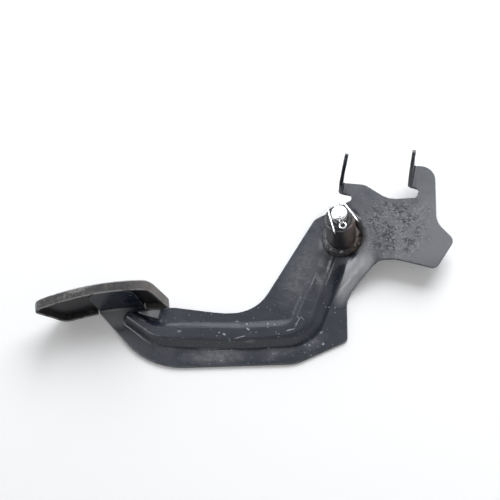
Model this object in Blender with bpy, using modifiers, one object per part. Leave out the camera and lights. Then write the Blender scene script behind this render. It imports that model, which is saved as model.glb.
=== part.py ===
# Accelerator pedal, lying on its side as photographed, in metres, +Z up.
# The pivot axis is +Z, +X runs away from the foot pad, and z = 0 is the surface that the pedal lies on.
# Sizes are written in millimetres and turned into metres by MM.

import math

import bmesh
import bpy
from mathutils import Matrix, Vector

MM = 0.001

# Sheet metal
SHEET = 2.3                    # thickness of the stamped arm
FLANGE_TOP = SHEET             # the flange lies on z = 0
BEAD_HEIGHT = 6.5              # pressed bead above the flange
BEAD_FLAT = 3.2                # half width of the bead's flat crest
BEAD_WALL = 6.0                # plan width of the bead's wall along the arm
BEAD_WALL_LEG = 10.4           # plan width of the same wall beside the leg
NOSE_FLAT = 1.8                # the same two sizes at the bead's narrow nose
NOSE_WALL = 4.2
WEB_DROP = 1.5                 # web beside the bead, below its crest
WEB_STEP = 5.0                 # plan width of the step from crest to web
NOSE_SHARE = 0.22              # share of the bead's length over which the nose widens
WEB_START = 0.034              # share of its length where the sheet starts to climb to the web
WEB_RISE_SHARE = 0.07          # share of its length the climb takes
WEB_RISE_BEND = 0.6            # how much of the climb's curve bends back at its top
STEEP_RAMP_SHARE = 0.4         # share of the ramp's length whose foot rises at once
RAMP_BLEND_SHARE = 0.5         # share over which it turns into the soft ramp
TAIL_RISE = 12.2               # tail plate above the flange
FOLD_RADIUS = 1.2              # inside radius of every folded tab

# Pivot
PIN_DIAMETER = 10.0
PIN_HEAD_DIAMETER = 16.0
PIN_HEAD = 3.0
PIN_LENGTH = 46.8              # from the head's outer face to the free end
SPLIT_INSET = 4.5              # split pin below the pin's free end
PIN_CHAMFER = 0.7
BOSS_DIAMETER = 19.0
BOSS_BORE = 13.2
BOSS_TOP = PIN_LENGTH - 8.5    # height of the rim above the lying surface
BOSS_BOTTOM = 3.8
BOSS_CHAMFER = 0.4
WELD_WIDTH = 3.6               # fillet of weld round the foot of the boss
WELD_HEIGHT = 4.0
SEAT_RADIUS = 13.2             # flat round seat pressed under the boss
SEAT_SLOPE = 1.2               # steepest fall of the sheet away from the seat
SEAT_RISE = 2.2                # steepest climb of the sheet away from the seat
BUSH_FLANGE_DIAMETER = 15.4
BUSH_FLANGE = 1.5
BUSH_PROUD = 0.5               # bush flange above the rim
BUSH_LENGTH = 12.0

# Split pin
WIRE_DIAMETER = 1.1
WIRE_PITCH = 1.25              # between the two strands in the hole
SPLIT_ANGLE = -75.0            # direction of the eye round the pivot, in degrees
EYE_DIAMETER = 4.1             # of the wire's centre line
EYE_REACH = 7.3                # eye centre from the pivot axis
CROSS_HOLE_DIAMETER = 3.0
RIGHT_LEG_TIP = (12.8, -6.5)
RIGHT_LEG_BENDS = [(3.6, 8.0, 2.2), (0.1, 8.4, 1.4)]
LEFT_LEG_BENDS = [(-3.2, 7.4, 1.2), (-7.7, 6.4, 2.0)]
LEFT_LEG_TIP = (-2.7, -14.5)
STRAND_REACH = 7.0             # straight strands reach this far behind the axis

# Foot pad
PAD_ANGLE = 6.0                # pad's long side from +X, in degrees
PAD_HEIGHT = 31.5              # across the pad, along the pivot axis
PAD_TOP_LENGTH = 75.8
PAD_SKEW_LEFT = 17.3           # the lower side's left end sits this far along the pad from the upper one's
PAD_SKEW_RIGHT = 10.4          # and its right end this far
PAD_BOW = 170.0                # radius of the pad's bow along its length
PAD_BOW_CENTRE = -5.0          # crown of the bow, along the pad from its origin
PAD_DEPTH = 6.7                # edge of the face to the open back
PAD_CROWN = 1.2
PAD_EDGE_ROUND = 6.0
PAD_WALL = 1.6
PAD_TOP_START = -54.2          # left end of the upper side from the pad's origin
PLATE_THICKNESS = 0.9
PLATE_FIT = 0.15               # room for the facets of the bow
TONGUE_HEIGHT = PAD_HEIGHT - 5.5
TONGUE_SKEW = 4.5
NOTCH_CLEARANCE = 1.0

GAP = 0.3                      # clearance between pieces that touch

# Plan outline of the blank: corners as x, y, radius of the corner
NECK_END = (-127.5, -41.5)
TONGUE_RIGHT = (-128.5, -40.15)
TONGUE_LEFT = (-157.3, -43.25)
OUTER_EDGE = [(-125.0, -82.7, 50.0), (-31.0, -82.9, 25.0), (1.9, -68.3, 3.5)]
RAMP_START = (2.0, -44.0)
RAMP_EDGE = [(2.0, -38.5, 14.0), (22.5, -18.2, 9.0)]
RAMP_END = (27.0, -18.0)
TAIL_EDGE = [(33.5, -17.6, 30.0), (59.5, -26.0, 5.0), (72.0, -6.2, 4.5), (61.2, 6.8, 14.0), (62.2, 48.4, 10.4)]
RIGHT_EAR_FAR = (50.3, 48.4)
RIGHT_EAR_NEAR = (47.2, 32.7)
RIGHT_NOTCH = [(51.0, 31.2, 2.0), (49.2, 25.1, 2.4)]
TAIL_TOP = [(31.0, 24.8, 14.0), (16.0, 36.2, 8.0)]
LEFT_EAR_FAR = (3.7, 37.9)
LEFT_EAR_NEAR = (2.3, 30.1)
LEFT_NOTCH = [(7.6, 28.6, 2.0), (6.6, 24.9, 2.0)]
TAIL_START = (1.6, 22.4)

# Ears, row by row: height, shift of the near edge, shift of the far edge, lean
RIGHT_EAR_ROWS = [(9.0, 0.0, -1.4, -0.4), (15.0, 0.0, -4.2, -0.8), (21.5, 0.0, -5.8, -1.2),
                  (23.0, 3.0, -6.0, -1.3), (24.5, 3.7, -6.0, -1.4), (31.5, 3.7, -6.2, -2.0),
                  (33.6, 4.5, -7.2, -2.1), (34.4, 6.2, -8.8, -2.2)]
LEFT_EAR_ROWS = [(8.0, 0.0, 1.4, -0.5), (14.0, 0.4, 3.0, -1.1), (20.0, 2.4, 4.2, -1.9), (26.0, 4.8, 4.6, -2.8),
                 (31.0, 7.0, 4.4, -3.6), (33.2, 8.2, 3.6, -3.9), (34.2, 9.4, 2.6, -4.1)]

# Arm edges and bead, as x, y, radius
INNER_EDGE = [(-119.0, -44.2, 8.0), (-109.0, -43.3, 14.0), (-76.0, -49.0, 60.0), (-55.5, -48.3, 26.0),
              (-17.6, 15.6, 6.0)]
INNER_END = (-13.6, 17.8)
BEAD_START = (-136.5, -48.3)
BEAD_PATH = [(-120.5, -60.4, 15.0), (-66.0, -63.9, 150.0), (-28.6, -62.6, 15.0), (-8.5, -9.0, 25.0)]
BEAD_END = (-4.5, 20.6)
TAIL_BEND = [(11.5, 16.5, 8.0), (15.5, 6.0, 15.0), (19.5, -7.0, 15.0), (24.0, -14.5, 8.0)]

FLAT_BORDER = 0.5
LEG_ARC_STEP = 20.0            # degrees between the points of a bend in the split pin
BEAD_STATIONS = 60
NOSE_STEPS = 10
WALL_ROWS = (0.0, 0.12, 0.3, 0.5, 0.7, 0.88, 1.0)


# Plane geometry

def lerp(a, b, t):
    return a + (b - a) * t


def smooth(t):
    t = min(max(t, 0.0), 1.0)
    return t * t * (3.0 - 2.0 * t)


def rounded_path(start, corners, end, arc_step=15.0):
    """Straight runs from start to end, with each corner (x, y, radius) turned into an arc."""
    points = [Vector(start)]
    nodes = [Vector(start)] + [Vector(c[:2]) for c in corners] + [Vector(end)]
    for index, (x, y, radius) in enumerate(corners, start=1):
        corner = nodes[index]
        before = (nodes[index - 1] - corner).normalized()
        after = (nodes[index + 1] - corner).normalized()
        turn = math.pi - before.angle(after)
        if turn < 0.001:
            continue
        reach = radius * math.tan(turn / 2)
        centre = corner + (before + after).normalized() * (radius / math.cos(turn / 2))
        first = corner + before * reach - centre
        side = 1.0 if before.cross(after) < 0 else -1.0
        steps = max(2, math.ceil(math.degrees(turn) / arc_step))
        for step in range(steps + 1):
            angle = side * turn * step / steps
            points.append(centre + Matrix.Rotation(angle, 2) @ first)
    points.append(Vector(end))
    return points


def resample(points, count):
    """count + 1 points evenly spaced along a run of points, ends kept."""
    lengths = [0.0]
    for a, b in zip(points, points[1:]):
        lengths.append(lengths[-1] + (b - a).length)
    out = []
    piece = 0
    for index in range(count + 1):
        target = lengths[-1] * index / count
        while piece < len(points) - 2 and lengths[piece + 1] < target:
            piece += 1
        span = lengths[piece + 1] - lengths[piece]
        t = (target - lengths[piece]) / span if span else 0.0
        out.append(lerp(points[piece], points[piece + 1], min(t, 1.0)))
    return out


def at_height(points, z):
    return [Vector((p.x, p.y, z)) for p in points]


# Mesh helpers

def add_strip(bm, rows):
    """Quads between rows that hold the same number of points."""
    grid = [[bm.verts.new(p * MM) for p in row] for row in rows]
    for upper, lower in zip(grid, grid[1:]):
        for i in range(len(upper) - 1):
            bm.faces.new((upper[i], upper[i + 1], lower[i + 1], lower[i]))


def add_flat(bm, loop):
    """A flat face with a narrow border, so that smooth shading next to it stays off the flat."""
    face = bm.faces.new([bm.verts.new(p * MM) for p in loop])
    bmesh.ops.inset_region(bm, faces=[face], thickness=FLAT_BORDER * MM, use_even_offset=False)


def face_up(bm, probe):
    """Make every face agree, with the faces near the probe point facing up."""
    bmesh.ops.recalc_face_normals(bm, faces=bm.faces)
    target = Vector(probe) * MM
    nearest = min(bm.faces, key=lambda f: (f.calc_center_median() - target).length)
    if nearest.normal.z < 0:
        bmesh.ops.reverse_faces(bm, faces=bm.faces)


def new_object(name, bm, material, collection):
    mesh = bpy.data.meshes.new(name)
    bm.to_mesh(mesh)
    bm.free()
    obj = bpy.data.objects.new(name, mesh)
    collection.objects.link(obj)
    if material:
        mesh.materials.append(material)
        mesh.shade_smooth()
        mesh.set_sharp_from_angle(angle=math.radians(35))
    return obj


def principled(name, colour, roughness, metallic=0.0):
    material = bpy.data.materials.new(name)
    material.use_nodes = True
    shader = material.node_tree.nodes["Principled BSDF"]
    shader.inputs["Base Color"].default_value = (*colour, 1.0)
    shader.inputs["Roughness"].default_value = roughness
    shader.inputs["Metallic"].default_value = metallic
    return material


def thicken(obj, thickness, offset=-1.0, even=True):
    solidify = obj.modifiers.new("thickness", "SOLIDIFY")
    solidify.thickness = thickness * MM
    solidify.offset = offset
    solidify.use_even_offset = even
    solidify.use_quality_normals = even
    return solidify


def cut(obj, cutter, operation="DIFFERENCE"):
    boolean = obj.modifiers.new("cut by " + cutter.name, "BOOLEAN")
    boolean.operation = operation
    boolean.object = cutter
    cutter.hide_render = True
    cutter.display_type = "WIRE"
    return boolean


def cylinder(name, radius, low, high, collection, segments=48):
    bm = bmesh.new()
    bmesh.ops.create_cone(bm, cap_ends=True, segments=segments, radius1=radius * MM, radius2=radius * MM,
                          depth=(high - low) * MM, matrix=Matrix.Translation((0, 0, (high + low) / 2 * MM)))
    return new_object(name, bm, None, collection)


def turned(name, profile, material, collection, segments=48):
    """A profile of (radius, height) points, outer side first from the top down, spun round the pivot axis."""
    bm = bmesh.new()
    verts = [bm.verts.new((r * MM, 0.0, z * MM)) for r, z in profile]
    for a, b in zip(verts, verts[1:]):
        bm.edges.new((a, b))
    if profile[0][0] > 0:
        bm.edges.new((verts[-1], verts[0]))
    obj = new_object(name, bm, material, collection)
    screw = obj.modifiers.new("turn", "SCREW")
    screw.axis = "Z"
    screw.angle = math.tau
    screw.steps = segments
    screw.render_steps = segments
    screw.use_merge_vertices = True
    screw.merge_threshold = 0.00001
    screw.use_smooth_shade = True
    return obj


# Arm

def folded_tab(near, far, out_direction, rows, columns=4):
    """Rows of points for a tab folded up from the straight edge near-far.

    rows hold (height, near shift, far shift, lean): the shifts move the two side edges along the fold,
    and the lean moves the row sideways, all in millimetres. Returns the grid, fold line first."""
    near, far = Vector((*near, 0.0)), Vector((*far, 0.0))
    along = (far - near).normalized()
    grid = []
    for angle in (0.0, 22.5, 45.0, 67.5, 90.0):
        a = math.radians(angle)
        shift = out_direction * FOLD_RADIUS * math.sin(a) + Vector((0, 0, FOLD_RADIUS * (1 - math.cos(a))))
        grid.append([lerp(near, far, i / columns) + shift for i in range(columns + 1)])
    foot = out_direction * FOLD_RADIUS
    for height, near_shift, far_shift, lean in rows:
        a = near + along * near_shift
        b = far + along * far_shift
        rise = foot + Vector((0, 0, height)) + out_direction * lean
        grid.append([lerp(a, b, i / columns) + rise for i in range(columns + 1)])
    return grid


def edge_direction(near, far, inside):
    """Horizontal unit vector square to an edge, pointing away from the inside point."""
    near, far, inside = Vector(near), Vector(far), Vector(inside)
    along = (far - near).normalized()
    out = Vector((-along.y, along.x))
    if out.dot(inside - near) > 0:
        out = -out
    return Vector((out.x, out.y, 0.0))


def lift(rows, z):
    return [[p + Vector((0, 0, z)) for p in row] for row in rows]


def seat_height(point, z):
    """Height of the sheet where the round seat of the boss takes over from the pressed form."""
    beyond = max(0.0, math.hypot(point.x, point.y) - SEAT_RADIUS)
    crest = FLANGE_TOP + BEAD_HEIGHT
    return min(max(z, crest - SEAT_SLOPE * beyond), crest + SEAT_RISE * beyond)


def web_rise(t):
    """Share of the climb from the flange to the web: a soft start and a crease at the top."""
    t = min(max(t, 0.0), 1.0)
    return t * t * (1.0 + WEB_RISE_BEND * (1.0 - t))


def bead_columns():
    """Columns of points across the bead: outer side from the boss to the nose, round it, and back inside.

    Returns the columns and the index of the first inner column. Each column runs from the bead's centre
    line to the foot of its wall."""
    path = resample(rounded_path(BEAD_START, BEAD_PATH, BEAD_END, 8.0), BEAD_STATIONS)
    last = BEAD_STATIONS
    crest = FLANGE_TOP + BEAD_HEIGHT
    columns = []

    def column(centre, direction, flat, wall, foot_height):
        points = [Vector((centre.x, centre.y, crest))]
        for row in WALL_ROWS:
            p = centre + direction * (flat + wall * row)
            z = lerp(crest, foot_height, smooth(row))
            points.append(Vector((p.x, p.y, seat_height(p, z))))
        return points

    def heading(i):
        return (path[min(i + 1, last)] - path[max(i - 1, 0)]).normalized()

    def outward(i):
        t = heading(i)
        turn = 24.0 * smooth((i / last - 0.86) / 0.14)
        return Matrix.Rotation(math.radians(turn), 2) @ Vector((t.y, -t.x))

    def widening(s):
        return smooth(s / NOSE_SHARE)

    for i in range(last, -1, -1):
        s = i / last
        wall = lerp(NOSE_WALL, BEAD_WALL, widening(s))
        wall = lerp(wall, BEAD_WALL_LEG, smooth((s - 0.5) / 0.12))
        closing = smooth((s - 0.86) / 0.14)
        wall = lerp(wall, 2.0, closing)
        foot = lerp(FLANGE_TOP, crest, smooth((s - 0.72) / 0.15))
        flat = lerp(NOSE_FLAT, BEAD_FLAT, widening(s))
        columns.append(column(path[i], outward(i), flat, wall, foot))
    start_angle = math.atan2(outward(0).y, outward(0).x)
    for k in range(1, NOSE_STEPS):
        angle = start_angle - math.pi * k / NOSE_STEPS
        direction = Vector((math.cos(angle), math.sin(angle)))
        columns.append(column(path[0], direction, NOSE_FLAT, NOSE_WALL, FLANGE_TOP))
    first_inner = len(columns)
    for i in range(last + 1):
        s = i / last
        foot = lerp(FLANGE_TOP, crest - WEB_DROP, web_rise((s - WEB_START) / WEB_RISE_SHARE))
        wall = lerp(NOSE_WALL, WEB_STEP, widening(s))
        flat = lerp(NOSE_FLAT, BEAD_FLAT, widening(s))
        columns.append(column(path[i], -outward(i), flat, wall, foot))
    return columns, first_inner


def arm_surface():
    """Upper surface of the stamped arm as one open mesh."""
    bm = bmesh.new()
    columns, first_inner = bead_columns()
    add_strip(bm, columns)

    # Web from the step beside the bead to the arm's upper edge
    flat_inner = first_inner + 2
    inner_foot = [c[-1] for c in columns[flat_inner:]]
    edge = resample(rounded_path(NECK_END, INNER_EDGE, INNER_END, 8.0), len(inner_foot) - 1)
    web_edge = [Vector((p.x, p.y, f.z)) for p, f in zip(edge, inner_foot)]
    middle = [lerp(a, b, 0.5) for a, b in zip(inner_foot, web_edge)]
    add_strip(bm, [inner_foot, middle, web_edge])

    # Ramp from the foot of the bead up to the tail plate
    outer_foot = [c[-1] for c in columns[:first_inner]]
    leg = [p for p in outer_foot[:BEAD_STATIONS // 2] if p.y > RAMP_START[1] + 2.0]
    turn_in = [lerp(leg[-1], Vector((*RAMP_START, FLANGE_TOP)), t) for t in (0.33, 0.67, 1.0)]
    low = leg + turn_in
    tail_top = FLANGE_TOP + TAIL_RISE
    bend = resample(rounded_path(TAIL_START, TAIL_BEND, RAMP_END, 10.0), len(low) - 1)
    high = at_height(bend, tail_top)
    rows_at = (0.0, 0.1, 0.25, 0.5, 0.75, 0.9, 1.0)
    free_edge = rounded_path(RAMP_START, RAMP_EDGE, RAMP_END, 10.0)
    fine_edge = resample(free_edge, 100)
    ramp = []
    for t in rows_at:
        bow = fine_edge[round(100 * t)] - lerp(Vector(RAMP_START), Vector(RAMP_END), t)
        row = []
        for index, (a, b) in enumerate(zip(low, high)):
            along = index / (len(low) - 1)
            p = lerp(a, b, t) + Vector((bow.x, bow.y, 0.0)) * along ** 3
            soft = smooth((along - STEEP_RAMP_SHARE) / RAMP_BLEND_SHARE)
            rise = lerp(math.sin(t * math.pi / 2), smooth(t), soft)
            p.z = seat_height(p, lerp(a.z, b.z, rise)) if 0.0 < t < 1.0 else p.z
            row.append(p)
        ramp.append(row)
    add_strip(bm, ramp)

    # Flat flange round the bead, with the fold line of the pad's tongue in its edge
    tongue = folded_tab(TONGUE_RIGHT, TONGUE_LEFT, edge_direction(TONGUE_RIGHT, TONGUE_LEFT, BEAD_START),
                        tongue_rows(), 6)
    bow_tongue(tongue)
    add_strip(bm, lift(tongue, FLANGE_TOP))
    outline = [Vector(NECK_END)] + [Vector(p[:2]) for p in tongue[0]]
    outline += rounded_path(TONGUE_LEFT, OUTER_EDGE, RAMP_START, 8.0)[1:]
    loop = at_height(outline, FLANGE_TOP) + list(reversed(turn_in[:-1])) + [leg[-1]]
    loop += outer_foot[len(leg):] + [c[-1] for c in columns[first_inner:flat_inner + 1]] + [middle[0]]
    add_flat(bm, loop)

    # Tail plate, with the fold lines of its two ears in its edge
    right = folded_tab(RIGHT_EAR_NEAR, RIGHT_EAR_FAR, edge_direction(RIGHT_EAR_NEAR, RIGHT_EAR_FAR, (60, 30)),
                       RIGHT_EAR_ROWS)
    left = folded_tab(LEFT_EAR_NEAR, LEFT_EAR_FAR, edge_direction(LEFT_EAR_NEAR, LEFT_EAR_FAR, (15, 30)),
                      LEFT_EAR_ROWS)
    add_strip(bm, lift(right, tail_top))
    add_strip(bm, lift(left, tail_top))
    outline = rounded_path(RAMP_END, TAIL_EDGE, RIGHT_EAR_FAR, 12.0)
    outline += [Vector(p[:2]) for p in reversed(right[0])][1:]
    outline += rounded_path(RIGHT_EAR_NEAR, RIGHT_NOTCH + TAIL_TOP, LEFT_EAR_FAR, 20.0)[1:]
    outline += [Vector(p[:2]) for p in reversed(left[0])][1:]
    outline += rounded_path(LEFT_EAR_NEAR, LEFT_NOTCH, TAIL_START, 20.0)[1:]
    add_flat(bm, at_height(outline, tail_top) + high[1:-1])

    bmesh.ops.remove_doubles(bm, verts=bm.verts, dist=0.05 * MM)
    face_up(bm, (60.0, 30.0, tail_top))
    return bm


def tongue_rows():
    """Tongue that backs the foot pad: nearly square to the flange, skewed like the pad."""
    rows = []
    for t in (0.2, 0.5, 0.8, 0.93, 1.0):
        corner = 5.0 * max(0.0, (t - 0.8) / 0.2) ** 2
        skew = TONGUE_SKEW * t
        rows.append((lerp(FOLD_RADIUS, TONGUE_HEIGHT, t), skew + corner, skew - corner, 0.0))
    return rows


def bow_tongue(grid):
    """Bow the tongue's upright part to the curve of the pad."""
    out = edge_direction(TONGUE_RIGHT, TONGUE_LEFT, BEAD_START)
    along = Vector((math.cos(math.radians(PAD_ANGLE)), math.sin(math.radians(PAD_ANGLE)), 0.0))
    middle = (grid[0][0] + grid[0][-1]) / 2
    for row in grid:
        for point in row:
            upright = min(2.0 * point.z / FOLD_RADIUS, 1.0)
            point += out * bow((point - middle).dot(along)) * upright


def make_arm(material, parts, cutters):
    arm = new_object("pedal_arm", arm_surface(), material, parts)
    thicken(arm, SHEET)
    seat = FLANGE_TOP + BEAD_HEIGHT
    cut(arm, cylinder("boss_hole", BOSS_DIAMETER / 2 + GAP, -5.0, seat + 10.0, cutters))
    cut(arm, cylinder("weld_room", BOSS_DIAMETER / 2 + WELD_WIDTH + GAP, seat + 0.05, seat + 10.0, cutters))
    return arm


# Pivot

def make_boss(material, parts):
    """Turned tube with its weld fillet, a counterbore for a bush at each end."""
    outer = BOSS_DIAMETER / 2
    bore = BOSS_BORE / 2
    pocket = BUSH_FLANGE_DIAMETER / 2 + GAP
    pocket_depth = BUSH_FLANGE - BUSH_PROUD + GAP
    weld_foot = FLANGE_TOP + BEAD_HEIGHT + GAP
    profile = [(outer - BOSS_CHAMFER, BOSS_TOP), (outer, BOSS_TOP - BOSS_CHAMFER),
               (outer, weld_foot + WELD_HEIGHT), (outer + 0.25 * WELD_WIDTH, weld_foot + 0.5 * WELD_HEIGHT),
               (outer + 0.7 * WELD_WIDTH, weld_foot + 0.22 * WELD_HEIGHT), (outer + WELD_WIDTH, weld_foot),
               (outer, weld_foot), (outer, BOSS_BOTTOM + BOSS_CHAMFER), (outer - BOSS_CHAMFER, BOSS_BOTTOM),
               (pocket, BOSS_BOTTOM), (pocket, BOSS_BOTTOM + pocket_depth), (bore, BOSS_BOTTOM + pocket_depth),
               (bore, BOSS_TOP - pocket_depth), (pocket, BOSS_TOP - pocket_depth), (pocket, BOSS_TOP)]
    return turned("pivot_boss", profile, material, parts)


def make_bush(name, material, parts, upper):
    """Flanged bush: the flange sits in the boss's counterbore, a little proud of the rim."""
    sleeve = BOSS_BORE / 2 - GAP
    bore = PIN_DIAMETER / 2 + GAP
    flange = BUSH_FLANGE_DIAMETER / 2
    top = BOSS_TOP + BUSH_PROUD if upper else BOSS_BOTTOM - BUSH_PROUD
    sign = -1.0 if upper else 1.0
    profile = [(flange, top), (flange, top + sign * BUSH_FLANGE), (sleeve, top + sign * BUSH_FLANGE),
               (sleeve, top + sign * BUSH_LENGTH), (bore, top + sign * BUSH_LENGTH), (bore, top)]
    if not upper:
        profile = profile[::-1]
    return turned(name, profile, material, parts)


def split_pin_height():
    return PIN_LENGTH - SPLIT_INSET


def make_pin(material, parts, cutters):
    """Headed pivot pin with a cross hole for the split pin."""
    shank = PIN_DIAMETER / 2
    head = PIN_HEAD_DIAMETER / 2
    profile = [(0.0, PIN_LENGTH), (shank - PIN_CHAMFER, PIN_LENGTH), (shank, PIN_LENGTH - PIN_CHAMFER),
               (shank, PIN_HEAD), (head - PIN_CHAMFER, PIN_HEAD), (head, PIN_HEAD - PIN_CHAMFER),
               (head, PIN_CHAMFER), (head - PIN_CHAMFER, 0.0), (0.0, 0.0)]
    pin = turned("pivot_pin", profile, material, parts)
    hole = cylinder("cross_hole", CROSS_HOLE_DIAMETER / 2, -PIN_DIAMETER, PIN_DIAMETER, cutters, 24)
    hole.location = (0.0, 0.0, split_pin_height() * MM)
    hole.rotation_euler = (math.pi / 2, 0.0, math.radians(SPLIT_ANGLE + 90.0))
    cut(pin, hole)
    return pin


def split_pin_route():
    """Centre line of the wire: right leg, strand, eye, strand, left leg, all square to the pivot axis."""
    eye_way = Vector((math.cos(math.radians(SPLIT_ANGLE)), math.sin(math.radians(SPLIT_ANGLE))))
    right_way = Vector((-eye_way.y, eye_way.x))
    half = WIRE_PITCH / 2
    radius = EYE_DIAMETER / 2
    mouth = math.asin(half / radius)
    centre = eye_way * EYE_REACH
    behind = -eye_way * STRAND_REACH
    right_leg = rounded_path(RIGHT_LEG_TIP, RIGHT_LEG_BENDS, behind + right_way * half, LEG_ARC_STEP)
    left_leg = rounded_path(behind - right_way * half, LEFT_LEG_BENDS, LEFT_LEG_TIP, LEG_ARC_STEP)
    eye = []
    for step in range(17):
        angle = lerp(math.pi - mouth, mouth - math.pi, step / 16)
        eye.append(centre + (eye_way * math.cos(angle) + right_way * math.sin(angle)) * radius)
    return right_leg + eye + left_leg


def make_split_pin(material, parts):
    route = split_pin_route()
    curve = bpy.data.curves.new("split_pin", "CURVE")
    curve.dimensions = "3D"
    curve.bevel_depth = WIRE_DIAMETER / 2 * MM
    curve.bevel_resolution = 2
    curve.use_fill_caps = True
    spline = curve.splines.new("POLY")
    spline.points.add(len(route) - 1)
    for point, place in zip(spline.points, route):
        point.co = (place.x * MM, place.y * MM, 0.0, 1.0)
    obj = bpy.data.objects.new("split_pin", curve)
    obj.location = (0.0, 0.0, split_pin_height() * MM)
    parts.objects.link(obj)
    curve.materials.append(material)
    return obj


# Foot pad, modelled flat in its own frame: x along the pad, y out of its face, z across it

def pad_matrix():
    """The pad's frame: its origin is on the tongue's inner face, over the middle of the fold."""
    fold = lerp(Vector(TONGUE_LEFT), Vector(TONGUE_RIGHT), 0.5)
    out = edge_direction(TONGUE_RIGHT, TONGUE_LEFT, BEAD_START)
    origin = Vector((fold.x, fold.y, 0.0)) + out * FOLD_RADIUS
    return Matrix.Translation(origin * MM) @ Matrix.Rotation(math.radians(PAD_ANGLE), 4, "Z")


def pad_outline(inset):
    """Upper and lower edge of the skewed pad, as two runs that leave a straight piece of each short side."""
    start = PAD_TOP_START
    end = start + PAD_TOP_LENGTH
    top = PAD_HEIGHT - inset
    low = inset

    def side(first, skew, sign, height):
        lean = skew / PAD_HEIGHT
        return first + lean * (PAD_HEIGHT - height) + sign * inset * math.hypot(1.0, lean)

    corners = [(side(start, PAD_SKEW_LEFT, 1.0, top), top, 3.4), (side(end, PAD_SKEW_RIGHT, -1.0, top), top, 7.0),
               (side(end, PAD_SKEW_RIGHT, -1.0, low), low, 3.0), (side(start, PAD_SKEW_LEFT, 1.0, low), low, 9.0)]
    flat = [Vector(c[:2]) for c in corners]
    upper = rounded_path(lerp(flat[3], flat[0], 0.8), corners[:2], lerp(flat[1], flat[2], 0.34), 15.0)
    lower = rounded_path(lerp(flat[3], flat[0], 0.3), corners[:1:-1], lerp(flat[1], flat[2], 0.82), 15.0)
    return upper, lower


def bow(x):
    return -((x - PAD_BOW_CENTRE) ** 2) / (2.0 * PAD_BOW)


def edge_distance(point, rim):
    """Distance from a point of the pad's face to its rim."""
    best = 1000.0
    for a, b in zip(rim, rim[1:] + rim[:1]):
        run = b - a
        t = min(max((point - a).dot(run) / run.length_squared, 0.0), 1.0)
        best = min(best, (a + run * t - point).length)
    return best


def pad_face(bm, inset, depth, crown, count=30):
    """Grid of points over the pad, depth in front of its origin, bowed along it and crowned at its edge.

    Returns the rim as a closed loop of points in the pad's plane."""
    upper, lower = pad_outline(inset)
    upper, lower = resample(upper, count), resample(lower, count)
    shares = (0.0, 0.05, 0.13, 0.25, 0.42, 0.58, 0.75, 0.87, 0.95, 1.0)
    grid = [[lerp(a, b, t) for a, b in zip(upper, lower)] for t in shares]
    rim = grid[0] + [row[-1] for row in grid[1:-1]] + grid[-1][::-1] + [row[0] for row in grid[-2:0:-1]]
    rows = []
    for flat_row in grid:
        row = []
        for p in flat_row:
            inward = min(edge_distance(p, rim) / PAD_EDGE_ROUND, 1.0)
            rise = crown * math.sqrt(max(0.0, 1.0 - (1.0 - inward) ** 2))
            row.append(Vector((p.x, depth + bow(p.x) + rise, p.y)))
        rows.append(row)
    add_strip(bm, rows)
    return rim


def make_pad_plate(material, parts):
    """Thin steel plate behind the rubber, spot welded to the tongue's outer face."""
    bm = bmesh.new()
    pad_face(bm, PAD_WALL + GAP, SHEET + GAP + PLATE_FIT, 0.0)
    bmesh.ops.remove_doubles(bm, verts=bm.verts, dist=0.01 * MM)
    face_pad_out(bm)
    plate = new_object("pad_plate", bm, material, parts)
    thicken(plate, PLATE_THICKNESS, 1.0, False)
    plate.matrix_world = pad_matrix()
    return plate


def face_pad_out(bm):
    bmesh.ops.recalc_face_normals(bm, faces=bm.faces)
    middle = min(bm.faces, key=lambda f: (f.calc_center_median() - Vector((0, 0, PAD_HEIGHT / 2 * MM))).length)
    if middle.normal.y < 0:
        bmesh.ops.reverse_faces(bm, faces=bm.faces)


def make_pad_cover(material, parts, cutters):
    """Moulded rubber tray: crowned face and a deep rim round the plate, notched where the arm enters."""
    plate_front = SHEET + GAP + PLATE_FIT + PLATE_THICKNESS
    front = plate_front + GAP + PAD_WALL
    bm = bmesh.new()
    rim = pad_face(bm, 0.0, front, PAD_CROWN)
    rim.append(rim[0])
    back = front - PAD_DEPTH
    rows = [[Vector((p.x, d + bow(p.x), p.y)) for p in rim] for d in (front, lerp(front, back, 0.5), back)]
    add_strip(bm, rows)
    bmesh.ops.remove_doubles(bm, verts=bm.verts, dist=0.01 * MM)
    face_pad_out(bm)
    pad = new_object("pad_cover", bm, material, parts)
    thicken(pad, PAD_WALL, -1.0, False)
    pad.matrix_world = pad_matrix()
    half = (Vector(TONGUE_RIGHT) - Vector(TONGUE_LEFT)).length / 2 + NOTCH_CLEARANCE
    bm = bmesh.new()
    size = Matrix.Diagonal((2.0 * half * MM, (PAD_DEPTH + 6.0) * MM, (PAD_WALL + 4.0) * MM, 1.0))
    place = Matrix.Translation((0.0, (plate_front - (PAD_DEPTH + 6.0) / 2) * MM, (PAD_WALL / 2 - 1.0) * MM))
    bmesh.ops.create_cube(bm, size=1.0, matrix=place @ size)
    notch = new_object("pad_notch", bm, None, cutters)
    notch.matrix_world = pad_matrix()
    cut(pad, notch)
    return pad


def clear_scene():
    for obj in list(bpy.data.objects):
        bpy.data.objects.remove(obj, do_unlink=True)
    for collection in list(bpy.data.collections):
        bpy.data.collections.remove(collection)


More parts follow.
